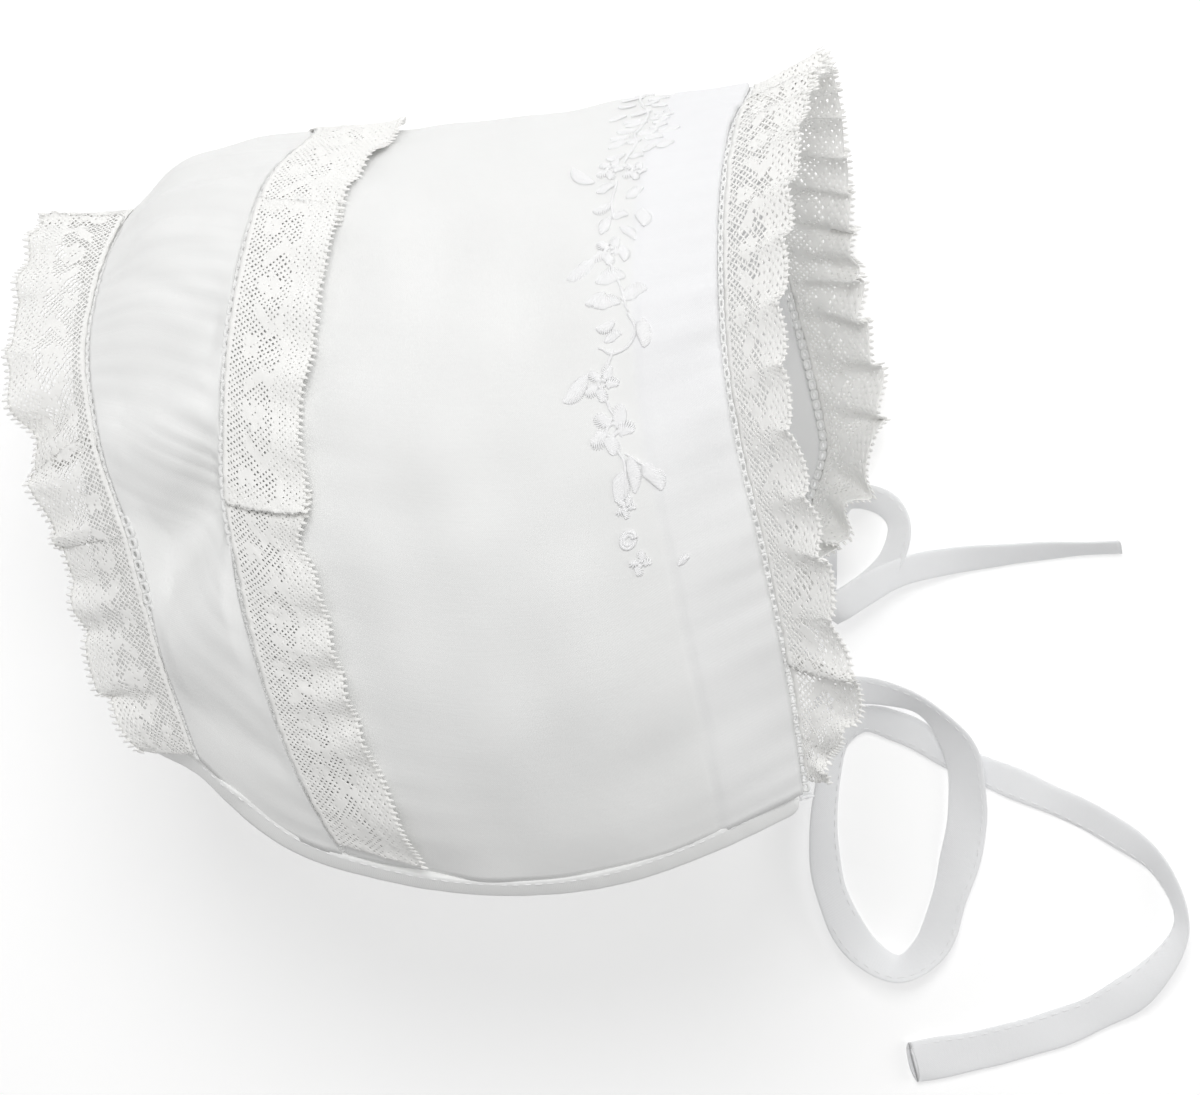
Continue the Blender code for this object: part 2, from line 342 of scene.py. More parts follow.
def woven(name, colour, shade, thread=0.00034, bump=0.16, roughness=0.85, sheen=0.05,
          doubled=None):
    material = bpy.data.materials.new(name)
    material.use_nodes = True
    tree = material.node_tree
    shader = tree.nodes["Principled BSDF"]
    set_inputs(shader, {"Roughness": roughness, "Specular IOR Level": 0.25,
                        "Sheen Weight": sheen, "Sheen Roughness": 0.5})
    uv = node(tree, "ShaderNodeUVMap", uv_map="cloth").outputs["UV"]
    place = node(tree, "ShaderNodeTexCoord").outputs["Object"]
    drawn_out = node(tree, "ShaderNodeMapping", {"Vector": uv, "Scale": SLUB})
    slub = noise(tree, drawn_out.outputs[0], 1.0, 3.0, 0.6)
    axes = node(tree, "ShaderNodeSeparateXYZ", {"Vector": uv})
    waves = [maths(tree, "SINE", maths(tree, "MULTIPLY", axes.outputs[axis], 2 * np.pi / thread))
             for axis in ("X", "Y")]
    height = maths(tree, "MULTIPLY_ADD", slub, 4.0, maths(tree, "MULTIPLY", *waves))
    fine = node(tree, "ShaderNodeBump", {"Height": height, "Strength": bump,
                                         "Distance": WEAVE_DEPTH})
    rumple = noise(tree, place, RUMPLES, 5.0, 0.55)
    soft = node(tree, "ShaderNodeBump", {"Height": rumple, "Strength": 0.22,
                                         "Distance": RUMPLE_DEPTH,
                                         "Normal": fine.outputs["Normal"]})
    tint = node(tree, "ShaderNodeMix", {0: noise(tree, place, PATCHES, 3.0), 6: (*shade, 1.0),
                                        7: (*colour, 1.0)}, data_type="RGBA")
    if doubled:
        two_layers = node(tree, "ShaderNodeAttribute", attribute_name="doubled")
        tint = node(tree, "ShaderNodeMix", {0: two_layers.outputs["Fac"], 6: tint.outputs[2],
                                            7: (*doubled, 1.0)}, data_type="RGBA")
    tree.links.new(tint.outputs[2], shader.inputs["Base Color"])
    tree.links.new(soft.outputs["Normal"], shader.inputs["Normal"])
    return material


cotton = woven("fine_cotton", (0.915, 0.918, 0.912), (0.89, 0.893, 0.885),
               doubled=(0.924, 0.926, 0.938))
tie_cotton = woven("tie_cotton", (0.955, 0.960, 0.970), (0.93, 0.935, 0.945), thread=0.00040)
lace_cotton = woven("lace_cotton", (0.975, 0.972, 0.957), (0.95, 0.945, 0.925),
                    thread=0.00030, bump=0.25, roughness=0.9, sheen=0.03)
thread_white = woven("embroidery_thread", (0.95, 0.95, 0.955), (0.92, 0.92, 0.925),
                     thread=0.00025, bump=0.10, roughness=0.6, sheen=0.08)

# %% [markdown]
# ## Two ties
# Each tie is a narrow tube of cotton, pressed flat and stitched along one edge. The near one
# drops from its neck corner, loops on the surface, changes over so that its other edge is the
# stitched one, and opens to a tube at its cut end. The far one folds back behind the lace.
# A flat section is swept along each route: every point gets a direction across and one up.
# %% Sweep a section along a route
def evenly(route, spacing):
    """Points at one spacing along a smooth curve through the route."""
    knots = arc_lengths(route)
    count = int(round(knots[-1] / spacing)) + 1
    return through(knots, route, np.linspace(0, knots[-1], count))


def level_frames(points, roll):
    """Across and up for a flat band that lies level, turned by roll about its own line."""
    along = heading(points)
    across = np.cross((0.0, 0.0, 1.0), along)
    for k in range(1, len(across)):
        if across[k] @ across[k - 1] < 0:
            across[k] = -across[k]
    across = square_to(along, unit(blurred(unit(across), 12)))
    up = np.cross(along, across)
    c, s = np.cos(roll)[:, None], np.sin(roll)[:, None]
    return across * c + up * s, up * c - across * s


def swept_mesh(name, points, across, up, section, lift, hollow_end=0.0):
    """Carry a closed section (pairs across, up) along the points, nowhere lower than lift.

    A hollow end is cut on a slant and its middle is sunk behind the rim.
    """
    rings = points[:, None] + across[:, None] * section[..., :1] + up[:, None] * section[..., 1:]
    lengths = arc_lengths(points)
    if hollow_end:
        along = unit(points[-1] - points[-2])
        rise = (rings[-1] - points[-1]) @ up[-1]
        rings[-1] -= along * (rise - rise.min())[:, None]
        middle = rings[-1].mean(0)
        rim = middle + (rings[-1] - middle) * 0.66
        rings = np.concatenate((rings, (rim, rim - along * hollow_end)))
        lengths = np.append(lengths, lengths[[-1, -1]])
    return lay_uv(tube_mesh(name, settle(rings, lift)), lengths, arc_lengths(section[0]))


# %% The ties' routes
TIE_WIDTH = 0.0062
TIE_SPACING = 0.0011
PUFF = 0.0007                  # how far the near tie's open end stands up, over its last 9 mm
NEAR_TIE = (                   # in millimetres, from below the middle of the head
    (55, -30, 100), (57, -34.5, 96.5), (58, -37.5, 88), (57.5, -40, 60), (56.5, -42.5, 30),
    (57.5, -43.5, 13), (62, -43, 7.5), (69, -43.7, 5), (76.5, -46, 4), (84.2, -54.2, 3.4),
    (86.7, -67.9, 1.8), (83.5, -88.7, 0.8), (79.7, -100, 0.8), (73.5, -104.5, 0.8),
    (65.6, -100.6, 0.8), (59.3, -88.7, 0.8), (57.5, -75.7, 0.8), (58.3, -64, 0.8),
    (60, -55.5, 0.8), (65.5, -51, 0.8), (72.6, -52.8, 0.8), (84.9, -59.3, 0.8),
    (99.2, -65.2, 0.8), (113.5, -71.4, 0.8), (126.2, -80.5, 0.8), (130.8, -91.9, 0.8),
    (124.7, -104.3, 0.8), (112.8, -113.7, 0.8), (94.5, -121.3, 0.8), (75.6, -126.3, 0.8),
)
FAR_TIE = (
    (53.5, -36, 6), (55.5, -30, 2), (56.5, -22, 0.8), (57, -13, 0.8), (60.7, -4.5, 0.8),
    (67.7, -4.9, 0.8), (71.8, -10, 0.8), (70.3, -16.5, 0.8), (65, -22.8, 1), (59.5, -27, 2),
    (57.8, -27.8, 5), (60, -25.8, 7.8), (65, -22.2, 7.2), (73, -18.5, 4), (83, -16.5, 1.4),
    (91.9, -15.1, 0.8), (103.8, -13.4, 0.8), (116.1, -12.3, 0.8),
)
# How far the ribbon rolls towards its edge at each of those points, in degrees
NEAR_ROLL = (0, 0, 0, 0, 0, 0, 10, 30, 45, 25, 5, 10, 30, 62, 30, 35, 45, 40, 45, 20, 5, 0, 0, 10,
             40, 64, 35, 8, 5, 10)
FAR_ROLL = (20, 20, 20, 20, 15, 10, 45, 50, 35, 30, 10, 5, 0, 10, 20, 30, 38, 45)
# How far the pressed tube of the near tie opens there, as a share of its pressed width
NEAR_SPREAD = (1.0, 1.0, 1.0, 1.0, 1.0, 1.0, 1.0, 1.05, 1.15, 1.25, 1.30, 1.28, 1.20, 1.20, 1.15,
               1.15, 1.15, 1.10, 1.05, 1.05, 1.05, 1.05, 1.05, 1.08, 1.10, 1.15, 1.20, 1.30,
               1.35, 1.42)
BESIDE = np.array((0.01, 0.001))   # roll and spread ride along the route, too small to lengthen it


def tie_section(width, puff):
    """A tube pressed flat: thick rounded edges and a thin middle, which may puff out."""
    angles = np.linspace(0, 2 * np.pi, 20, endpoint=False)
    across = width / 2 * np.sign(np.cos(angles)) * np.abs(np.cos(angles)) ** 0.7
    edge = (np.abs(across) / (width / 2)) ** 3
    thick = 0.00040 + 0.00022 * edge + puff * (1 - edge)
    return np.stack((across, thick * np.sin(angles)), -1)


def make_tie(name, route, rolls, spread, seed):
    """Returns the tie's line, the way to its edge and the way up, for the stitches."""
    route = np.array(route) * MM + (HEAD_AT[0], HEAD_AT[1], 0.0)
    beside = np.column_stack((np.radians(rolls), spread)) * BESIDE
    points = evenly(np.column_stack((route, beside)), TIE_SPACING)
    roll, opened = (points[:, 3:] / BESIDE).T
    roll = blurred(roll, 10)
    points = points[:, :3] + np.array((0, 0, TIE_WIDTH / 2)) * np.abs(np.sin(roll))[:, None]
    length = arc_lengths(points)
    roll = roll + np.radians(7.0) * wander(length / 0.016, seed)
    across, up = level_frames(points, roll)
    widths = TIE_WIDTH * opened * (1 + 0.05 * wander(length / 0.013, seed + 1))
    puffs = PUFF * ease(length, length[-1] - 0.009, length[-1]) * (opened[-1] > 1)
    section = np.array([tie_section(*pair) for pair in zip(widths, puffs)])
    mesh = swept_mesh(name, points, across, up, section, 0.0001, hollow_end=0.0009)
    piece = add_piece(name + "_ribbon", mesh, tie_cotton)
    declare(piece, "tie_cotton", name)
    print(name, round(float(length[-1]) * 1000), "mm long")
    return points, across * (widths / 2 - 0.0010)[:, None], up


near_tie = make_tie("near_tie", NEAR_TIE, NEAR_ROLL, NEAR_SPREAD, 3)
far_tie = make_tie("far_tie", FAR_TIE, FAR_ROLL, np.ones(len(FAR_TIE)), 8)

# %% [markdown]
# ## Folds and puckers
# A crease is a soft valley or ridge along a line on the cloth. The back band has long folds
# and small puckers at its seams, because it was gathered there; the front panel is almost
# smooth.
# %% Relief of the cloth
STEP_METRES = 0.15             # one step round the head is about this much cloth
# A crease: x and step of both ends, its height and its half width, in millimetres but the steps
BACK_CREASES = (
    (-40, 0.58, -60, 0.84, -7.2, 5.6), (-38, 0.69, -58, 0.92, 3.0, 5.5),
    (-43, 0.40, -66, 0.60, -3.4, 4.8), (-44, 0.49, -64, 0.70, 1.6, 4.8),
    (-66, 0.10, -45, 0.13, -1.0, 2.2), (-66, 0.15, -43, 0.17, 0.8, 2.2),
    (-66, 0.20, -44, 0.235, -1.1, 2.4), (-67, 0.26, -46, 0.285, 0.6, 2.6),
    (-63, 0.06, -40, 0.085, 0.8, 2.2), (-68, 0.33, -50, 0.40, -0.7, 3.0),
    (-56, 0.93, -30, 0.86, -0.9, 3.5), (-60, -0.30, -45, -0.36, -1.0, 4.0),
    (-62, -0.12, -42, -0.16, -0.9, 3.0),
)
FRONT_CREASES = (
    (20, 0.58, 46, 0.52, 0.7, 6.0), (10, 0.66, 50, 0.62, -0.6, 7.0),
    (-20, 0.30, 30, 0.24, -0.4, 8.0), (-20, 0.10, 35, 0.06, -0.5, 6.0),
    (0, 0.90, 50, 0.84, -0.6, 6.0),
)


def crease_height(creases, x, step):
    height = np.zeros(np.shape(x))
    place = np.stack((x, step * STEP_METRES), -1)
    for crease in np.array(creases) * (MM, STEP_METRES, MM, STEP_METRES, MM, MM):
        start, end, (depth, half_width) = crease.reshape(3, 2)
        run = end - start
        share = np.clip(((place - start) @ run) / (run @ run), 0, 1)
        aside = np.linalg.norm(place - start - share[..., None] * run, axis=-1)
        fade = 1 - 0.55 * np.abs(2 * share - 1) ** 2
        height = height + depth * fade * np.exp(-(aside / half_width) ** 2)
    return height


def puckers(distance, step, pitch, depth, reach, seed):
    """Short ripples that start at a seam and die out within reach of it."""
    phase = 2 * np.pi * (step * STEP_METRES / pitch + 0.35 * wander(step * 9, seed))
    size = 0.35 + 0.65 * ease(wander(step * 6, seed + 1), -0.4, 0.9)
    return depth * size * np.sin(phase) * np.exp(-distance / reach)


# %% [markdown]
# ## The front panel
# It is one piece of cotton from the middle seam to the face edge. Its wide hem shows as a
# whiter band, which fades towards the neck, and the hem's stitching leaves small ripples.
# %% Front panel
HEM = 0.0150


def front_relief(x, step):
    to_face = face_seam(step) - x
    hem = 0.00022 * ease(-to_face, -HEM - 0.0003, -HEM + 0.0003)
    hem_line = -0.00022 * np.exp(-((to_face - HEM) / 0.0005) ** 2)
    ripples = puckers(to_face, step, 0.0052, 0.00034, 0.012, 21)
    gathers = puckers(x - middle_seam(step), step, 0.0060, 0.00050, 0.012, 31)
    broad = 0.0008 * wander(x * 60 + step * 5, 41) * wander(step * 7 - x * 20, 42)
    return crease_height(FRONT_CREASES, x, step) + hem + hem_line + ripples + gathers + broad


step, x = between_seams(middle_seam, face_seam, 110)
rows = settle(on_head(x, step, front_relief(x, step)))
front_panel = cloth_sheet("front_panel_cloth", rows, cotton)
in_hem = ease(HEM - (face_seam(step) - x), -0.0012, 0.0004)
in_hem = in_hem * (1 - 0.75 * ease(np.abs(step), 0.40, 0.70))
give_attribute(front_panel.data, "doubled", in_hem)

# %% [markdown]
# ## The back band
# It was gathered into the middle seam, so it carries the folds, the deepest on the near side.
# The relief is weak close to a seam, which holds the cloth down.
# %% Back band
def back_relief(x, step):
    at_middle = puckers(middle_seam(step) - x, step, 0.0050, 0.00065, 0.0090, 51)
    at_back = puckers(x - back_seam(step), step, 0.0058, 0.00040, 0.0070, 61)
    broad = 0.0006 * wander(x * 90 + step * 4, 71) * wander(step * 9, 72)
    return crease_height(BACK_CREASES, x, step) + at_middle + at_back + broad


step, x = between_seams(back_seam, middle_seam, 56)
free = ease(x - back_seam(step), 0.0, 0.006) * ease(middle_seam(step) - x, 0.0, 0.004)
rows = settle(on_head(x, step, back_relief(x, step) * (0.25 + 0.75 * free)), LACE_FLOOR)
back_band = cloth_sheet("back_band_cloth", rows, cotton)

# %% [markdown]
# ## The domed back
# A horseshoe of cotton closes the back. Each line across it bulges behind the seam, and it is
# drawn up at the nape, so fine gathers fan out from the neck edge.
# %% Domed back
BULGE = (1, 3, 6, 9, 13, 19, 26)
BACK_INSET = 0.0018


def back_of_head(step, across):
    """step runs up the seam, and across from -1 on the far side to 1 on the near side."""
    x = back_seam(step) - 0.0008
    inset = np.full(np.shape(step), -BACK_INSET)
    start, end = on_head(x, step, inset), on_head(x, -step, inset)
    points = end + (start - end) * ((across + 1) / 2)[..., None]
    points[..., 0] -= seam(BULGE, step) * (1 - np.abs(across) ** 2.2)
    return settle(points, BACK_INSET)


step, across = grid_of(110, 110, (NECK_STEP, 0.06), (1.0, -1.0))
rows = back_of_head(step, across)
gathers = 0.0007 * np.sin(46 * across + 2 * wander(across * 9, 5)) * ease(step, 0.45, 0.97)
rows[..., 0] += gathers * (1 - np.abs(across) ** 4)
crown_back = cloth_sheet("crown_back_cloth", rows, cotton)

# %% [markdown]
# ## Growing detail with Geometry Nodes
# Holes, picots, ladder cells and threads all repeat, so Geometry Nodes make them. Each tree is
# built once with named inputs. `grown` puts it on a plain mesh as a modifier, sets the inputs,
# takes the evaluated result as a mesh and removes the modifier.
# %% Node tree helpers
def new_tree(name, sockets):
    tree = bpy.data.node_groups.new(name, "GeometryNodeTree")
    tree.interface.new_socket(name="Geometry", in_out="INPUT", socket_type="NodeSocketGeometry")
    for label, kind in sockets.items():
        tree.interface.new_socket(name=label, in_out="INPUT", socket_type="NodeSocket" + kind)
    tree.interface.new_socket(name="Geometry", in_out="OUTPUT", socket_type="NodeSocketGeometry")
    return tree, tree.nodes.new("NodeGroupInput").outputs


def attribute(tree, name, kind="FLOAT"):
    return node(tree, "GeometryNodeInputNamedAttribute", {"Name": name}, data_type=kind).outputs[0]


def close_tree(tree, geometry, material):
    real = node(tree, "GeometryNodeRealizeInstances", {"Geometry": geometry})
    finish = node(tree, "GeometryNodeSetMaterial", {"Geometry": real.outputs[0],
                                                    "Material": material})
    node(tree, "NodeGroupOutput", {"Geometry": finish.outputs[0]})


def grown(name, mesh, tree, values):
    """Apply a tree to a mesh and keep the result as a plain piece."""
    piece = add_piece(name, mesh)
    modifier = piece.modifiers.new("Grow", "NODES")
    modifier.node_group = tree
    for item in tree.interface.items_tree:
        if item.in_out == "INPUT" and item.name in values:
            modifier[item.identifier] = values[item.name]
    graph = bpy.context.evaluated_depsgraph_get()
    result = bpy.data.meshes.new_from_object(piece.evaluated_get(graph), depsgraph=graph)
    piece.modifiers.remove(modifier)
    piece.data = result
    result.shade_smooth()
    return piece


# %% [markdown]
# ## Tree 1: a net
# The lace is a net of diamond holes with solid flowers and leaves worked into it. Its mesh is
# a lattice of diamonds, and each has an `opening`, from 0 for solid to 0.83 for the widest
# hole. Extruding each diamond in place, shrinking the copy and deleting it leaves a hole with
# shared corners, so the net stays one sheet.
# %% Net tree
net_tree, given = new_tree("net", {"Largest Hole": "Float", "Material": "Material"})
opening = attribute(net_tree, "opening")
is_open = node(net_tree, "FunctionNodeCompare", {0: opening, 1: 0.02}, operation="GREATER_THAN")
size = maths(net_tree, "MULTIPLY", opening, given["Largest Hole"])
copies = node(net_tree, "GeometryNodeExtrudeMesh",
              {"Mesh": given["Geometry"], "Selection": is_open.outputs[0],
               "Offset Scale": 0.0, "Individual": True}, mode="FACES")
shrunk = node(net_tree, "GeometryNodeScaleElements",
              {"Geometry": copies.outputs["Mesh"], "Selection": copies.outputs["Top"],
               "Scale": size}, domain="FACE")
holes = node(net_tree, "GeometryNodeDeleteGeometry",
             {"Geometry": shrunk.outputs[0], "Selection": copies.outputs["Top"]}, domain="FACE")
close_tree(net_tree, holes.outputs[0], given["Material"])

# %% [markdown]
# ## Tree 2: one shape repeated along paths
# A path carries three values at its points: `side` and `up` say how the shape is turned, and
# `reach` stretches it sideways. That is enough for a picot, a rung, a running stitch and a
# satin stitch, which is a thread laid from one edge of a leaf to the other.
# %% Repeat tree
repeat_tree, given = new_tree("repeat along paths", {"Shape": "Object", "Spacing": "Float",
                                                     "Material": "Material"})
curves = node(repeat_tree, "GeometryNodeMeshToCurve", {"Mesh": given["Geometry"]})
spaced = node(repeat_tree, "GeometryNodeResampleCurve",
              {"Curve": curves.outputs[0], "Length": given["Spacing"]}, mode="LENGTH")
turned = node(repeat_tree, "FunctionNodeAxesToRotation",
              {"Primary Axis": attribute(repeat_tree, "up", "FLOAT_VECTOR"),
               "Secondary Axis": attribute(repeat_tree, "side", "FLOAT_VECTOR")},
              primary_axis="Z", secondary_axis="Y")
reach = attribute(repeat_tree, "reach")
scale = node(repeat_tree, "ShaderNodeCombineXYZ", {"X": 1.0, "Y": reach, "Z": 1.0})
shape = node(repeat_tree, "GeometryNodeObjectInfo", {"Object": given["Shape"],
                                                     "As Instance": False})
placed = node(repeat_tree, "GeometryNodeInstanceOnPoints",
              {"Points": spaced.outputs[0], "Instance": shape.outputs["Geometry"],
               "Rotation": turned.outputs[0], "Scale": scale.outputs[0]})
close_tree(repeat_tree, placed.outputs[0], given["Material"])
print("trees:", [tree.name for tree in bpy.data.node_groups])


# %% Paths and the shape that repeats on them
def paths_mesh(name, paths):
    """Paths are (points, side, up, reach): arrays of one length, or one value for all."""
    counts = [len(path[0]) for path in paths]
    starts = np.cumsum([0] + counts)
    edges = [(k, k + 1) for start, count in zip(starts.tolist(), counts)
             for k in range(start, start + count - 1)]
    mesh = new_mesh(name, np.concatenate([path[0] for path in paths]), [], edges)
    for column, label, width in ((1, "side", [3]), (2, "up", [3]), (3, "reach", [])):
        values = [np.broadcast_to(path[column], [count] + width)
                  for path, count in zip(paths, counts)]
        give_attribute(mesh, label, np.concatenate(values), "FLOAT_VECTOR" if width else "FLOAT")
    return mesh


def repeated(name, paths, shape, spacing, material):
    values = {"Shape": shape, "Spacing": spacing, "Material": material}
    piece = grown(name, paths_mesh(name, paths), repeat_tree, values)
    piece.data.calc_loop_triangles()
    print(name, len(piece.data.loop_triangles), "triangles")
    return piece


def loose_shape(name, rings, ends_meet=False):
    """A shape to repeat. It is in no collection, and it is removed at the end."""
    return bpy.data.objects.new(name, tube_mesh(name, rings, ends_meet))


def bead(name, profile):
    """A closed shape along Y; each ring is its place, half width, half height and rise."""
    angles = np.linspace(0, 2 * np.pi, 6, endpoint=False)
    rings = [np.stack((wide * np.cos(angles), np.full(6, y), high * np.sin(angles) + rise), -1)
             for y, wide, high, rise in profile]
    return loose_shape(name, np.array(rings)[:, ::-1])


def thread_shape(radius, arch):
    """A thread 2 mm long along Y, which bends down into the cloth at both ends."""
    sizes = ((-1.0, 0.35), (-0.75, 0.9), (0.0, 1.0), (0.75, 0.9), (1.0, 0.35))
    return bead("thread", [(y * MM, size * radius, size * radius, arch * (1 - y * y))
                           for y, size in sizes])


thread = thread_shape(0.00018, 0.00026)
stitch = thread_shape(0.00009, 0.00008)
print("one thread has", len(thread.data.polygons), "faces")

# %% [markdown]
# ## The pattern of the lace
# All three bands have one pattern, which repeats every 23 mm: a six-petalled flower between
# pairs of leaves, a smaller flower between repeats, an open net round them, and a denser
# border with rows of small holes. Each diamond asks the pattern how far it is open.
# %% Lace pattern
LACE_WIDTH = 0.0160
REPEAT = 0.0230
FLOWER, FLOWER_RADIUS = (0.0, 6.6), 2.7
SMALL, SMALL_RADIUS = (11.5, 4.6), 2.0
EYE_RADIUS = 0.6
BORDER, BORDER_WAVE, BORDER_HALF_WIDTH = 10.4, 0.8, 0.42


def petals(u, v, centre, radius, count):
    """Less than 1 inside a flower of round petals."""
    du, dv = u - centre[0], v - centre[1]
    lobes = 0.58 + 0.42 * np.abs(np.cos(count / 2 * np.arctan2(dv, du)))
    return np.hypot(du, dv) / (radius * lobes)


def leaf(u, v, start, end, half_width):
    """Less than 1 inside a pointed leaf from start to end."""
    a, b = np.array(start), np.array(end)
    run = b - a
    share = ((u - a[0]) * run[0] + (v - a[1]) * run[1]) / (run @ run)
    aside = np.abs((u - a[0]) * run[1] - (v - a[1]) * run[0]) / np.linalg.norm(run)
    widest = half_width * np.sin(np.pi * np.clip(share, 0, 1)) ** 0.8
    return np.where((share > 0) & (share < 1), aside / np.maximum(widest, 1e-5), 9.0)


def lace_opening(u, v):
    """How far a hole opens: 0.53 to 0.83 in the net, 0 or little where the lace is solid.

    u runs along the band and v across it, and the places below are in millimetres.
    """
    mm_u = ((u / REPEAT + 0.5) % 1.0 - 0.5) * REPEAT * 1000
    mm_v = v * 1000
    side_u = np.abs(mm_u)
    uneven = np.random.default_rng(17).uniform(-1, 1, np.shape(u))
    flower = petals(mm_u, mm_v, FLOWER, FLOWER_RADIUS, 6)
    small = petals(side_u, mm_v, SMALL, SMALL_RADIUS, 5)
    leaves = np.minimum(leaf(side_u, mm_v, (3.4, 4.0), (7.6, 7.6), 1.0),
                        leaf(side_u, mm_v, (5.6, 9.4), (9.8, 7.0), 0.8))
    wave = mm_v - BORDER - BORDER_WAVE * np.cos(4 * np.pi * mm_u * MM / REPEAT)
    border = np.abs(wave) / BORDER_HALF_WIDTH
    open_to = 0.68 + 0.15 * uneven
    rows = np.abs((mm_v - 12.4) % 2.32 - 1.16) < 0.35
    open_to = np.where(wave > 0, np.where(rows, 0.20, 0.46) + 0.08 * uneven, open_to)
    solid = (flower < 1) | (small < 1) | (leaves < 1) | (border < 1)
    eyes = np.minimum(np.hypot(mm_u - FLOWER[0], mm_v - FLOWER[1]),
                      np.hypot(side_u - SMALL[0], mm_v - SMALL[1])) < EYE_RADIUS
    open_to = np.where(solid, np.where(uneven > 0.35, 0.26, 0.0), open_to)
    open_to = np.where(eyes, 0.5, open_to)
    edges = (mm_v < 0.8) | (mm_v > 15.4)
    return np.where(edges, 0.0, open_to)


# %% Lattice of diamonds
HALF_CELL = (0.00055, 0.00058)         # half a diamond, along the band and across it
OPEN_HALF_CELL = (0.00066, 0.00070)    # the wider net of the face lace
STRAY = 0.14                   # how far a corner of the net strays, as a share of half a cell
LACE_WALL = 0.00026
EDGING = 0.0008                # the last stretch of the band, which the picots point along


def lattice(columns, rows):
    """Corners (column, row) and faces of a lattice, with half diamonds at its edges."""
    c, r = np.meshgrid(np.arange(columns + 1), np.arange(rows + 1), indexing="ij")
    even = (c + r) % 2 == 0
    index = np.full(c.shape, -1)
    index[even] = np.arange(even.sum())
    faces = []
    for a, b in zip(c[~even].tolist(), r[~even].tolist()):
        corners = ((a - 1, b), (a, b - 1), (a + 1, b), (a, b + 1))
        inside = [p for p in corners if 0 <= p[0] <= columns and 0 <= p[1] <= rows]
        if len(inside) > 2:
            faces.append([int(index[p]) for p in inside])
    return np.stack((c[even], r[even]), -1), faces


PLEAT_RISE = 0.0015            # how high the upper layer of a pleat stands
PLEAT_REACH = 0.010            # and how far from the pleat it comes down again


def pleated(walked, part, pleats, steps, walk):
    """Fold the band on itself at each pleat: the distance along the seam, and the rise."""
    rise = np.zeros(np.shape(walked))
    for place_step, slant, depth, upper_first in pleats:
        place = np.interp(place_step, steps, walk) + slant * part
        over = walked - (place + depth / 2)
        folded = np.clip(over / depth, 0, 1)
        walked = np.where(over < 0, walked,
                          np.where(over < depth, place + depth / 2 - over, walked - 2 * depth))
        away = (place - walked) if upper_first else (walked - place)
        upper = (1 - folded) if upper_first else folded
        rise = rise + upper * np.exp(-np.maximum(away, 0) / PLEAT_REACH)
    return walked, rise * PLEAT_RISE * (0.3 + 0.7 * part)


def lace_band(name, seam_x, ends, place, pleats, flip=False, largest=1.0, hidden_share=0.0,
              cell=HALF_CELL):
    """place(step, distance along, distance out, rise) gives the points of the band.

    Its holes are largest times as wide as the pattern asks, and on the far half of the band
    they are smaller by hidden_share.
    """
    steps = np.linspace(*ends, 900)
    walk = arc_lengths(head(seam_x(steps), steps))
    cut = walk[-1] + 2 * sum(depth for _, _, depth, _ in pleats)
    size = np.array((int(cut / cell[0]), int(round(LACE_WIDTH / cell[1]))))
    corners, faces = lattice(*size)

    def lay(share, out):
        walked, rise = pleated(share * cut, out / LACE_WIDTH, pleats, steps, walk)
        return place(np.interp(walked, walk, steps), walked, out, rise)

    points = lay(corners[:, 0] / size[0], corners[:, 1] / size[1] * LACE_WIDTH)
    points += np.random.default_rng(29).normal(0.0, STRAY * cell[0], points.shape)
    if flip:
        faces = [face[::-1] for face in faces]
    mesh = new_mesh(name, settle(points, LACE_FLOOR), faces)
    centres = np.array([corners[face].mean(0) for face in faces])
    shut = 1 - hidden_share * (centres[:, 0] < size[0] / 2)
    pattern = lace_opening(*(centres / size * (cut, LACE_WIDTH)).T)
    give_attribute(mesh, "opening", pattern * shut, domain="FACE")
    piece = grown(name, mesh, net_tree, {"Largest Hole": largest, "Material": lace_cotton})
    area = sum(face.area for face in piece.data.polygons)
    add_wall(piece, LACE_WALL)
    print(name, round(cut * 1000), "mm of lace,", len(faces), "diamonds")
    share = np.linspace(0, 1, 1200)
    edge, inner = [lay(share, np.full(1200, out)) for out in (LACE_WIDTH, LACE_WIDTH - EDGING)]
    return piece, area, float(cut), edge, inner


# %% [markdown]
# ## How each band lies
# A band leaves its seam at an angle, and its free edge stands in flutes. The face lace points
# forward, with the strongest flutes on the far side, the middle lace lies over the front panel
# and the back lace points backward. `pull` and `narrow` draw a band in where it is pleated and
# at its ends. A pleat is a short stretch where the band lifts and doubles over.
# %% Places of the three bands
# Degrees out from the cloth at each seam step
FACE_FLARE_NEAR = (10, 24, 38, 56, 56, 44, 40)
FACE_FLARE_FAR = (10, 14, 4, -12, -30, -56, -80)
BACK_FLARE = (40, 35, 24, 13, 2, 0, 8)


def leave_seam(seam_x, flare, step, out, forward=False):
    """Points out from a seam at an angle, the way up from the band, and the way along it."""
    nudge = 1e-3
    along = head(seam_x(step + nudge), step + nudge) - head(seam_x(step - nudge), step - nudge)
    off = outward(seam_x(step), step)
    across = unit(np.cross(off, along) if forward else np.cross(along, off))
    tilt = np.radians(flare)[..., None]
    reach = across * np.cos(tilt) + off * np.sin(tilt)
    rise = off * np.cos(tilt) - across * np.sin(tilt)
    points = head(seam_x(step), step) + across * SEAM_ROOM + reach * out[..., None]
    return points, rise, unit(along)


def flared(rows, up, line, lift, lean):
    """Flutes lift the band off its plane, and lean it a little along its edge."""
    return settle(rows + up * lift[..., None] + line * lean[..., None], LACE_FLOOR)


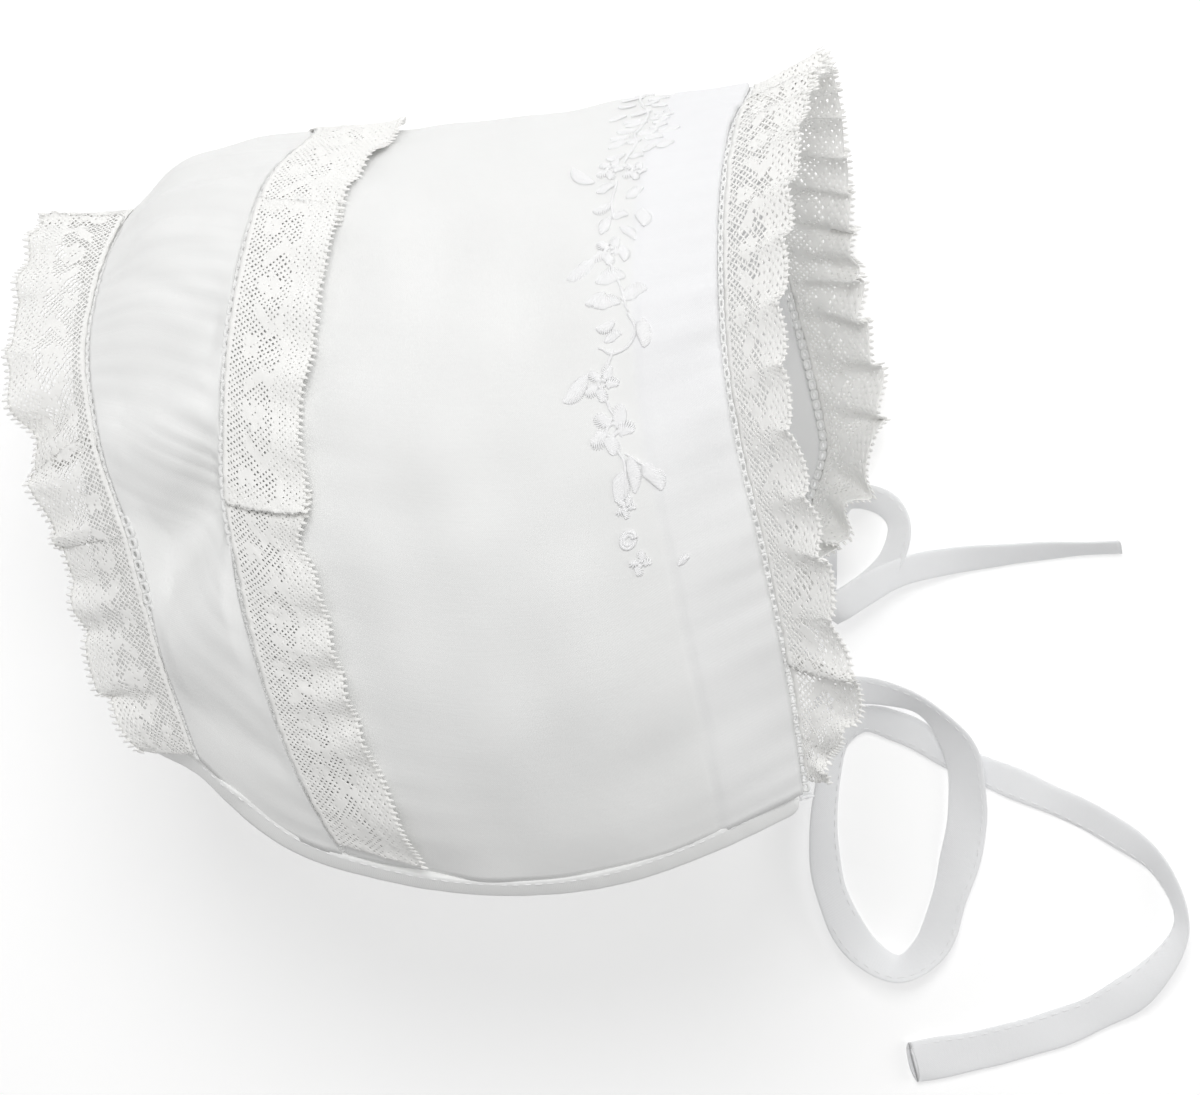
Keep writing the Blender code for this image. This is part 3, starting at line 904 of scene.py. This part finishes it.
def face_place(step, along, out, rise):
    near = through(SEAM_STEPS, FACE_FLARE_NEAR, np.abs(step))
    far = through(SEAM_STEPS, FACE_FLARE_FAR, np.abs(step))
    part = out / LACE_WIDTH
    # drawn in at the lower pleat, over the crown and most of all into the near corner
    pull = 1 - 0.16 * bump(step, 0.775, 0.025) - 0.05 * ease(step, 0.80, 0.86)
    pull = pull - 0.20 * bump(step, 0.0, 0.10)
    pull = pull - 0.30 * ease(step, 0.84, 0.90) - 0.36 * ease(step, 0.900, 0.925)
    rows, up, line = leave_seam(face_seam, np.where(step > 0, near, far), step,
                                out * pull, forward=True)
    depth = np.where(step > 0, 0.0010, 0.0021) * (0.75 + 0.5 * ease(wander(along * 90, 4), -1, 1))
    pitch = np.where(step > 0, 0.0105, 0.0085)
    wave = np.sin(2 * np.pi * along / pitch + 1.2 * wander(along * 60, 5))
    lift = depth * wave * part ** 1.3 + rise
    lean = 0.0016 * np.sin(2 * np.pi * along / 0.0105 + 1.7) * part ** 2
    return flared(rows, up, line, lift, lean)


def middle_place(step, along, out, rise):
    part = out / LACE_WIDTH
    narrow = 0.16 * bump(step, 0.66, 0.03) + 0.10 * bump(step, 0.50, 0.05)
    # it leaves square to the seam, but straight forward at both ends
    slant = (middle_seam(step + 0.005) - middle_seam(step - 0.005)) / 0.01
    fan = 1 - ease(np.abs(step), 0.86, 0.957)
    square = STEP_METRES / np.hypot(STEP_METRES, slant * fan)
    offset = out * (1 - narrow) + SEAM_ROOM
    x = middle_seam(step) + offset * square
    step = step - offset * square * slant * fan / STEP_METRES ** 2
    wave = np.sin(2 * np.pi * along / 0.0125 + 1.5 * wander(along * 50, 7))
    lift = 0.0006 + 0.0003 * part + (0.0007 + 0.0008 * wave) * part ** 1.5
    # a soft fold with a valley beside it runs across the band
    diagonal = 0.415 - 0.075 * part
    lift = lift + 0.0016 * bump(step, diagonal, 0.022) * part ** 1.5
    lift = lift - 0.0010 * bump(step, diagonal + 0.045, 0.016) * part ** 1.5
    lift = np.maximum(lift, 0.0005) + rise
    return settle(on_head(x, step, lift), LACE_FLOOR)


def back_place(step, along, out, rise):
    flare = through(SEAM_STEPS, BACK_FLARE, np.abs(step))
    part = out / LACE_WIDTH
    pull = 1 - 0.08 * bump(step, 0.62, 0.03) - 0.30 * ease(np.abs(step), 0.90, 0.972)
    rows, up, line = leave_seam(back_seam, flare, step, out * pull)
    wave = np.sin(2 * np.pi * along / 0.0125 + 1.6 * wander(along * 60, 9))
    lift = 0.0012 * wave * part ** 1.3 + rise
    # a ridge and a valley below it
    lift = lift + 0.0026 * bump(step, 0.49 + 0.04 * part, 0.030) * part
    lift = lift - 0.0042 * bump(step, 0.57 + 0.05 * part, 0.026) * part
    lean = 0.0012 * np.sin(2 * np.pi * along / 0.0115 + 1.6) * part ** 2
    return flared(rows, up, line, lift, lean)


# A pleat: its step, how far it slants over the band, its depth, and whether the stretch
# before it, on the side of the far neck edge, is the upper layer
MIDDLE_PLEATS = ((0.215, 0.0008, 0.0035, False), (0.630, -0.0040, 0.0045, True))
BACK_PLEATS = ((0.060, 0.0010, 0.0030, False), (0.655, 0.0020, 0.0030, False))
FACE_PLEATS = ((0.075, 0.0010, 0.0030, False), (0.820, 0.0010, 0.0035, True))
bands = {
    "face_lace": lace_band("face_lace_net", face_seam, (-0.957, 0.965), face_place,
                           FACE_PLEATS, hidden_share=0.40, cell=OPEN_HALF_CELL),
    "middle_lace": lace_band("middle_lace_net", middle_seam, (-0.957, 0.957), middle_place,
                             MIDDLE_PLEATS, largest=0.62),
    "back_lace": lace_band("back_lace_net", back_seam, (-0.957, 0.972), back_place,
                           BACK_PLEATS, flip=True),
}

# %% [markdown]
# ## Picots
# The free edge of the lace ends in a row of tiny drops that reach 1 mm past it.
# %% Picots
PICOT_PITCH = 0.0013
PICOT_SIZES = ((-0.0004, 0.00030), (0.0001, 0.00036), (0.0006, 0.00028), (0.0010, 0.00010))
picot = bead("picot", [(y, size, 0.55 * size, -0.00016) for y, size in PICOT_SIZES])
for node_name, (piece, area, length, edge, inner) in bands.items():
    side = unit(edge - inner)
    up = unit(np.cross(np.gradient(edge, axis=0), side))
    if node_name != "back_lace":
        up = -up
    paths = [(edge, side, up, 1.0)]
    picots = repeated(node_name + "_picots", paths, picot, PICOT_PITCH, lace_cotton)
    declare(picots, "white_lace")
    declare(piece, "white_lace", node_name, flat=(LACE_WIDTH, length * 1.03), held="gathered",
            area=area, with_pieces=[picots])

# %% [markdown]
# ## Ladder stitch in the seams
# Each seam is an open ladder, two rails joined by rungs, which shows as a row of small dark
# holes. One cell of it is a rounded ring, and rings along the seam touch. The face seam's
# ladder is narrow, above all over the crown.
# %% Ladders
LADDER_PITCH = 0.0021


def ladder_shape():
    angles = np.linspace(0, 2 * np.pi, 12, endpoint=False)
    outline = np.stack((np.cos(angles), np.sin(angles)), -1)
    square = outline / np.maximum(np.abs(outline).max(-1, keepdims=True), 0.78)
    outer = square * (0.00108, 0.00100)
    inner = outline * (0.00052, 0.00036)
    profile = ((outer, -0.0006), (outer, -0.0001), (outer * 0.5 + inner * 0.5, 0.0),
               (inner, -0.0002), (inner, -0.0006))
    rings = [np.column_stack((edge, np.full(12, height))) for edge, height in profile]
    return loose_shape("ladder cell", rings, ends_meet=True)


ladder_cell = ladder_shape()
steps = np.linspace(-0.975, 0.975, 1500)
narrowed = 0.48 + 0.30 * ease(np.abs(steps), 0.42, 0.62)
for label, seam_x, width in (("face", face_seam, narrowed), ("middle", middle_seam, 1.0),
                             ("back", back_seam, 1.0)):
    line = head(seam_x(steps), steps)
    off = outward(seam_x(steps), steps)
    side = unit(np.cross(off, np.gradient(line, axis=0)))
    paths = [(settle(line - off * 0.00035, 0.0007), side, off, width)]
    declare(repeated(label + "_ladder", paths, ladder_cell, LADDER_PITCH, cotton), "white_cotton")

# %% [markdown]
# ## Neck binding
# A bias strip is folded round the neck edge from corner to corner, round the nape. It follows
# the two sides of the head and the domed back, so its path is three runs joined and smoothed.
# Its section is a flat fold, rounded off at both ends of the strip.
# %% Binding
BINDING_HEIGHT = 0.0044


BINDING_SECTION = np.array((
    (-1.00, 0.10), (-0.97, 0.38), (-0.80, 0.46), (-0.50, 0.44), (-0.20, 0.44), (-0.04, 0.30),
    (0.02, -0.20), (-0.04, -0.80), (-0.20, -1.05), (-0.50, -1.10), (-0.80, -1.10),
    (-0.97, -1.05), (-1.00, -0.75))) * (BINDING_HEIGHT, 0.001)


def neck_run(step_value):
    """Points along the neck edge at one step, from the near corner to the far one."""
    count = 150
    side = np.linspace(-0.012, 1, count)[:-1]
    runs = []
    for step in (np.full(count - 1, step_value), np.full(count - 1, -step_value)):
        runs.append(head(face_seam(step) + (back_seam(step) - face_seam(step)) * side, step))
    nape = back_of_head(np.full(count, step_value), np.linspace(1, -1, count))
    return blurred(np.concatenate((runs[0], nape, runs[1][::-1])), 30)


edge = neck_run(1.0)
walk = arc_lengths(edge)
neck_length = float(walk[-1])
stations = np.linspace(0, walk[-1], 420)
edge = through(walk, edge, stations)
above = through(walk, neck_run(0.955), stations)
along = heading(edge)
down = square_to(along, unit(edge - above))
out = np.cross(along, down)
ripple = 1 + 0.10 * wander(stations / 0.004, 12) + 0.06 * np.sin(stations / 0.0011)
section = np.repeat(BINDING_SECTION[None], len(stations), axis=0)
section[..., 1] *= ripple[:, None]
from_end = np.clip(np.minimum(stations, walk[-1] - stations) / 0.0034, 0.02, 1.0)
rounded = np.sqrt(1 - (1 - from_end) ** 2)
middle_height = 0.6 * BINDING_HEIGHT
section[..., 0] = (section[..., 0] + middle_height) * rounded[:, None] - middle_height
binding_mesh = swept_mesh("neck_binding_fold", edge, down, out, section, 0.0003)
neck_binding = add_piece("neck_binding_fold", binding_mesh, cotton)
print("neck binding", round(neck_length * 1000), "mm")

# %% [markdown]
# ## Running stitches
# The binding and the ties are closed by a row of small stitches near one edge.
# %% Stitches
def stitch_row(line, up):
    """The path for stitches that run along a line."""
    return line, heading(line), up, 0.75


rows = [stitch_row(edge - down * 0.0037 + out * 0.0004, out)]
binding_stitches = repeated("binding_stitches", rows, stitch, 0.0022, thread_white)
turn = len(near_tie[0]) // 2   # past this the near tie's other edge is the stitched one
tie_rows = []
for (points, aside, up), stretch, edge_sign in ((near_tie, slice(turn), 1),
                                                (near_tie, slice(turn, -4), -1),
                                                (far_tie, slice(-4), 1)):
    line = (points + edge_sign * aside + up * 0.00042)[stretch]
    tie_rows.append(stitch_row(settle(line, 0.0012), up[stretch]))
tie_stitches = repeated("tie_stitches", tie_rows, stitch, 0.0025, thread_white)

# %% [markdown]
# ## Embroidery
# A spray of flowers runs from the top of the front panel down its near side. Each leaf and
# petal is satin stitch, threads laid side by side from edge to edge, and the stems are stem
# stitch. A place is x along the head in millimetres and a step round it in hundredths.
# %% Embroidery on the cloth
def on_cloth(place):
    place = np.asarray(place, float)
    x, step = place[..., 0] * MM, place[..., 1] / 100
    off = outward(x, step)
    return head(x, step) + off * (front_relief(x, step) + 0.05 * MM)[..., None], off


def satin(start, end, width, fullness=0.8):
    """Threads across a leaf that runs from start to end; width is in millimetres."""
    share = np.linspace(0.04, 0.96, 40)
    bow = 0.10 * np.sin(np.pi * share)[:, None] * np.array((end[1] - start[1], start[0] - end[0]))
    line, off = on_cloth(np.array(start) + share[:, None] * (np.array(end) - start) + bow)
    along = heading(line)
    across = unit(np.cross(off, along) + 0.35 * along)
    reach = 0.78 * width * np.sin(np.pi * share) ** fullness + 0.12
    return line, across, off, reach


def stem(places):
    """Short overlapping stitches along a stem."""
    count = len(places)
    at = np.linspace(0, count - 1, 12 * count)
    line, off = on_cloth(through(np.arange(count), places, at))
    along = heading(line)
    return line, unit(along + 0.22 * np.cross(off, along)), off, 0.85


def rays(angles):
    """One millimetre away on the cloth, in its units, at each angle."""
    return np.stack((np.cos(angles), np.sin(angles) / STEP_METRES * 0.1), -1)


def flower(centre, radius, count, width):
    """Satin petals round a centre; radius in millimetres."""
    return [satin(centre + ray * 0.28, centre + ray, width, 0.55)
            for ray in rays(0.3 + 2 * np.pi * np.arange(count) / count) * radius]


def eyelet(centre, radius):
    line, off = on_cloth(centre + rays(np.linspace(0, 2 * np.pi, 25)) * radius)
    middle, _ = on_cloth(centre)
    return line, unit(line - middle), off, 0.38


SPRAY_LEAVES = (               # place of the base, place of the tip, width
    (20.5, 5.6, 23.7, 5, 1.3), (24.5, 5.2, 28.3, 4.5, 1.3), (26.8, 11.6, 30.5, 11.2, 1.4),
    (30.5, 12.2, 34.5, 11.4, 1.3), (22, 14.4, 25.5, 13.6, 1.3), (25.5, 14, 28, 13.4, 1.2),
    (28.5, 16, 31, 15.5, 1.2), (31, 15.8, 34, 15, 1.3), (24, -3.6, 27.5, -4.8, 1.3),
    (28, 2.8, 31, 3.6, 1.2), (22, -0.6, 26, -1.8, 1.4), (27, 0.2, 31, -0.8, 1.4),
    (24, 8.7, 28, 7.8, 1.4), (29, 8.4, 32, 7.4, 1.2), (21, 21.9, 24, 21.4, 1.5),
    (26.5, 23.6, 29.5, 22.6, 1.6), (20.4, 20.3, 15.9, 17, 1.7), (22.6, 28.3, 24.2, 26.2, 1.5),
    (24.2, 26.1, 27.2, 26.3, 1.3), (29.6, 25.8, 30.2, 28.4, 2), (26.6, 30.4, 27.4, 32.7, 1.4),
    (22.3, 31.6, 17.3, 33.5, 2), (22.7, 34.9, 27.9, 34.9, 2.1), (27.4, 37.4, 31.9, 36.8, 1.9),
    (22.7, 37.8, 27.3, 37.9, 1.8), (25, 41.9, 27.9, 41.3, 1.3), (31.4, 40.1, 31.9, 43.5, 2.1),
    (22.3, 45, 18.1, 47.5, 2), (25, 1.6, 21.6, 0.9, 1.2), (26.6, 2.2, 29.2, 1.2, 1.1),
    (26.8, 6.4, 23.4, 7.2, 1.2), (28.2, 7, 32.2, 6.4, 1.1), (26.4, 10, 22.8, 9.9, 1.3),
    (28.6, 9.8, 31.8, 9.4, 1.2), (25.6, 12, 22, 12, 1.3), (28.4, 13.2, 31.8, 13.6, 1.2),
    (25.4, 16.2, 22, 16.4, 1.2), (26.2, 17, 28.6, 16.9, 1), (24, 24, 20.8, 24.8, 1.4),
    (26, 27.8, 29, 30, 1.2), (24.6, 36.2, 21.2, 37.2, 1.4), (26.6, 39.8, 23.4, 40.2, 1.3),
    (29.2, 56.1, 28, 59.1, 2.3), (30.2, 54.5, 31.3, 58.7, 1.6), (32.5, 55.9, 36, 59.2, 2.3),
    (39.2, 67.7, 41, 67.2, 0.9),
)
SPRAY_STEMS = (
    ((26.0, -4.6), (25.4, -1.0), (26.2, 2.0), (27.6, 5.0), (27.2, 8.4), (26.4, 11.6),
     (27.0, 14.4), (25.6, 17.4)),
    ((24.5, 21.0), (24.0, 23.5), (24.5, 26.0)),
    ((25.2, 33.0), (27.0, 35.6), (28.5, 38.5)),
    ((29.0, 39.4), (30.3, 41.2), (29.2, 42.8), (26.6, 43.3), (24.7, 42.6)),
    ((26.4, 43.4), (25.6, 44.6)),
    ((25.8, 48.2), (26.6, 49.4)),
    ((28.2, 53.8), (29.4, 55.4), (29.8, 58.6)),
    ((30.2, 54.6), (32.4, 55.8)),
)
FLOWERS = (                    # centre, radius, petals, petal width, radius of the eyelet
    ((27.0, 51.5), 3.8, 5, 2.1, 1.0), ((24.8, 46.3), 2.9, 5, 1.5, 0.6),
    ((24.5, 30.9), 2.8, 5, 1.5, 0.7), ((23.0, 18.5), 2.4, 5, 1.3, 0.6),
    ((27.5, 19.4), 2.1, 5, 1.2, 0.5), ((29.8, 59.9), 1.7, 5, 0.9, 0.4),
    ((32.5, 66.2), 1.8, 4, 1.1, 0.4), ((30.5, 6.0), 1.9, 5, 1.1, 0.5),
)
threads = [satin(parts[:2], parts[2:4], parts[4]) for parts in SPRAY_LEAVES]
threads += [stem(places) for places in SPRAY_STEMS]
for centre, radius, count, width, eye in FLOWERS:
    threads += flower(centre, radius, count, width)
    threads += [eyelet(centre, eye)]
threads += [eyelet((30.3, 63.4), 1.3), eyelet((30.3, 63.4), 0.8)]
embroidery = repeated("embroidery", threads, thread, 0.00027, thread_white)

for piece, node_name, flat, held in ((front_panel, "front_panel", (0.102, 0.335), "folded"),
                                     (back_band, "back_band", (0.040, 0.310), "gathered"),
                                     (crown_back, "crown_back", (0.125, 0.150), "gathered")):
    area = min(sum(face.area for face in piece.data.polygons), flat[0] * flat[1])
    declare(piece, "white_cotton", node_name, flat=flat, held=held, area=area, rests_on=[])
declare(neck_binding, "white_cotton", "neck_binding", flat=(0.0100, neck_length * 1.03),
        held="folded", area=0.0055 * neck_length)
for piece, slot in ((binding_stitches, "white_cotton"), (tie_stitches, "tie_cotton"),
                    (embroidery, "white_cotton")):
    declare(piece, slot)

for shape_object in (thread, stitch, picot, ladder_cell):
    bpy.data.objects.remove(shape_object)

# %% [markdown]
# ## Floor and light
# The bonnet lies on a plain white surface. The key light is a large soft one on the crown
# side, a weaker one fills from behind and above, and a low one shines in front of the face
# opening, so the folds shade softly and the holes of the lace stay readable.
# %% Floor and lights
PALE = (0.93, 0.93, 0.93, 1.0)
WHITE = (1.0, 1.0, 1.0, 1.0)
REACH = 3.0
corners = [(-REACH, -REACH, 0), (REACH, -REACH, 0), (REACH, REACH, 0), (-REACH, REACH, 0)]
floor_material = bpy.data.materials.new("pale_floor")
floor_material.use_nodes = True
set_inputs(floor_material.node_tree.nodes["Principled BSDF"],
           {"Base Color": PALE, "Roughness": 0.9, "Specular IOR Level": 0.1,
            "Emission Color": WHITE, "Emission Strength": 0.28})
floor = add_piece("floor", new_mesh("floor", corners, [(0, 1, 2, 3)]), floor_material)


def soft_light(name, place, size, power, colour):
    light = bpy.data.lights.new(name, "AREA")
    light.shape = "DISK"
    light.size = size
    light.energy = power
    light.color = colour
    lamp = bpy.data.objects.new(name, light)
    bpy.context.scene.collection.objects.link(lamp)
    aim = (VIEW_MIDDLE - Vector(place)).to_track_quat("-Z", "Y")
    lamp.matrix_world = Matrix.Translation(place) @ aim.to_matrix().to_4x4()
    print(name, power, "W")


soft_light("key", (0.06, 0.68, 0.93), 0.50, 5.3, (1.0, 1.0, 1.0))
soft_light("fill", (-0.55, 0.15, 1.00), 0.90, 1.1, (1.0, 0.99, 0.98))
soft_light("front", (0.86, 0.06, 0.42), 0.50, 1.4, (1.0, 1.0, 0.99))
world = bpy.data.worlds.new("studio")
world.use_nodes = True
set_inputs(world.node_tree.nodes["Background"], {"Color": WHITE, "Strength": 0.40})
bpy.context.scene.world = world
bpy.context.scene.view_settings.view_transform = "Standard"
